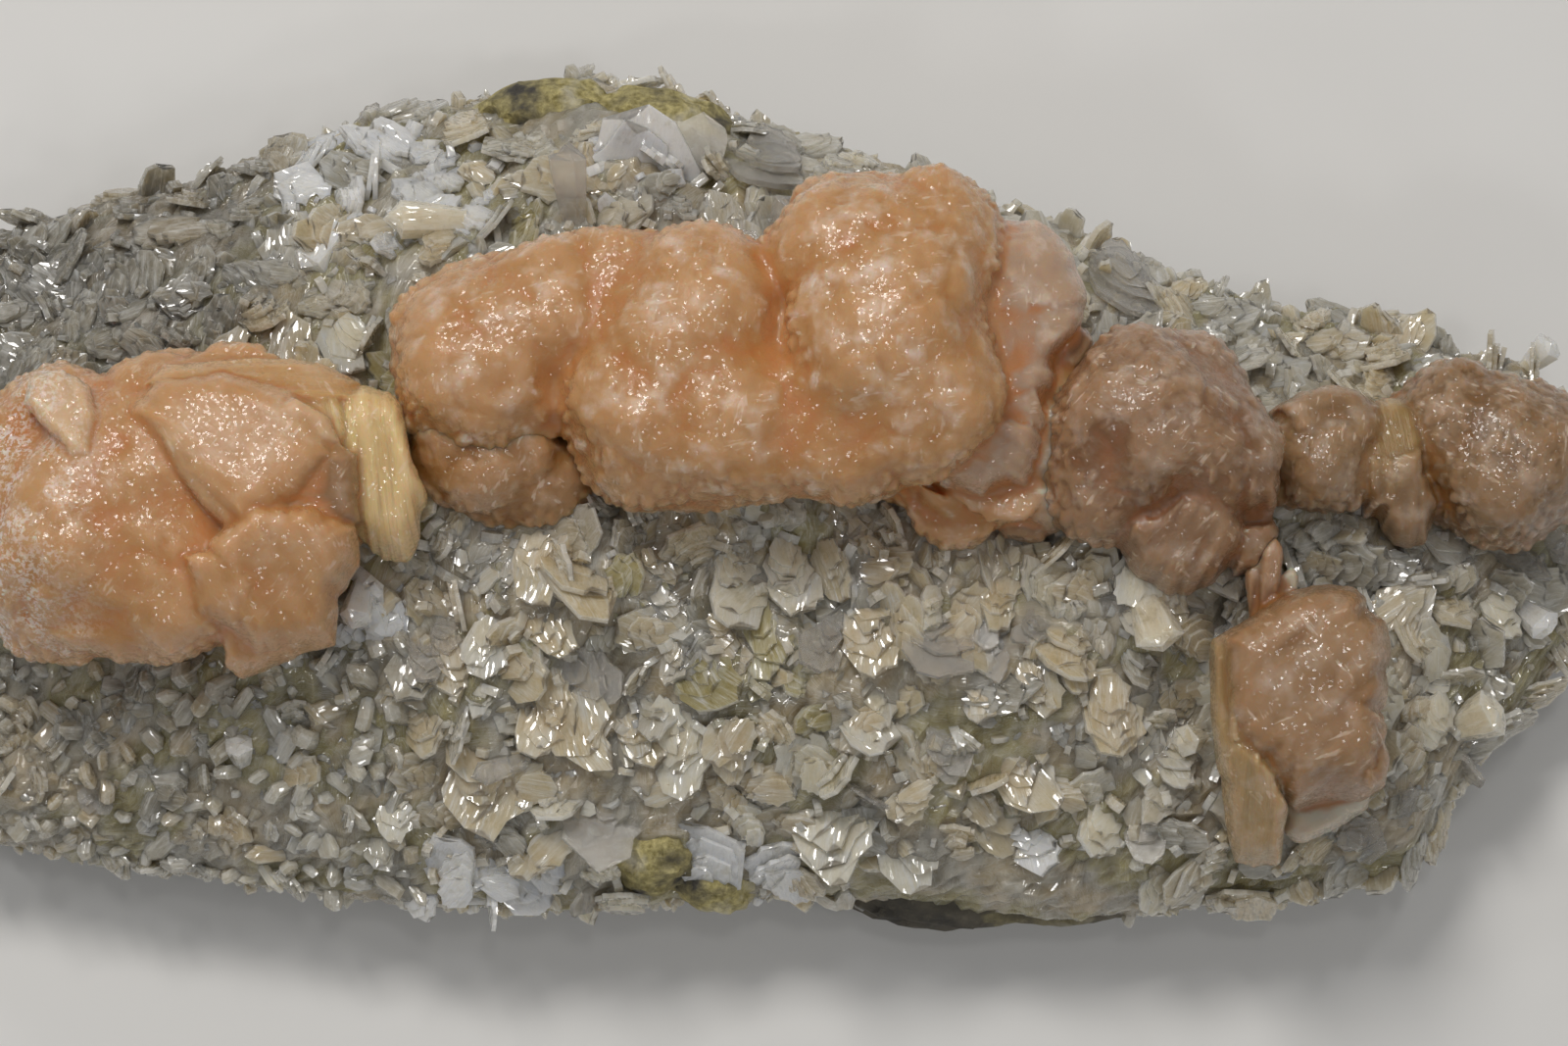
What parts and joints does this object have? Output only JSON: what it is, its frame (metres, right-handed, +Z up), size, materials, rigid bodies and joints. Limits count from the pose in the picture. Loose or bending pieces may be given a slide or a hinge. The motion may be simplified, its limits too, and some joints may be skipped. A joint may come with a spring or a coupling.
{
  "type": "stilbite crystal specimen",
  "caption": "Mineral specimen: peach stilbite clusters standing on a pale crystal crust over an elongated dark basalt matrix, lying on its flat underside.",
  "frame": {"origin": "middle of the flat underside of the rock", "axes": "+X along the specimen towards its narrow end, +Z up, -Y towards the front rim"},
  "size_m": [0.1913, 0.0933, 0.0588],
  "materials": {
    "centre_stilbite": "waxy translucent peach stilbite, pearly on the plate faces",
    "tan_stilbite": "waxy translucent tan stilbite",
    "right_stilbite": "waxy translucent salmon stilbite with fine sparkle",
    "bow_tie_stilbite": "waxy translucent honey-tan stilbite",
    "barrel_stilbite": "waxy translucent peach stilbite, golden and striated at its foot",
    "left_stilbite": "waxy translucent peach stilbite, cream and striated on its right",
    "pale_druse": "glassy translucent grey to tan small crystals",
    "basalt": "rough dark basalt, yellow-green where it is weathered"
  },
  "bodies": {
    "root": {"centre_stilbite_cluster": "centre_stilbite", "tan_stilbite_rosette": "tan_stilbite", "right_stilbite_rosette": "right_stilbite", "bow_tie_stilbite_sheaf": "bow_tie_stilbite", "barrel_stilbite_sheaf": "barrel_stilbite", "left_stilbite_cluster": "left_stilbite", "drusy_crust": "pale_druse", "basalt_matrix": "basalt"}
  },
  "joints": []
}
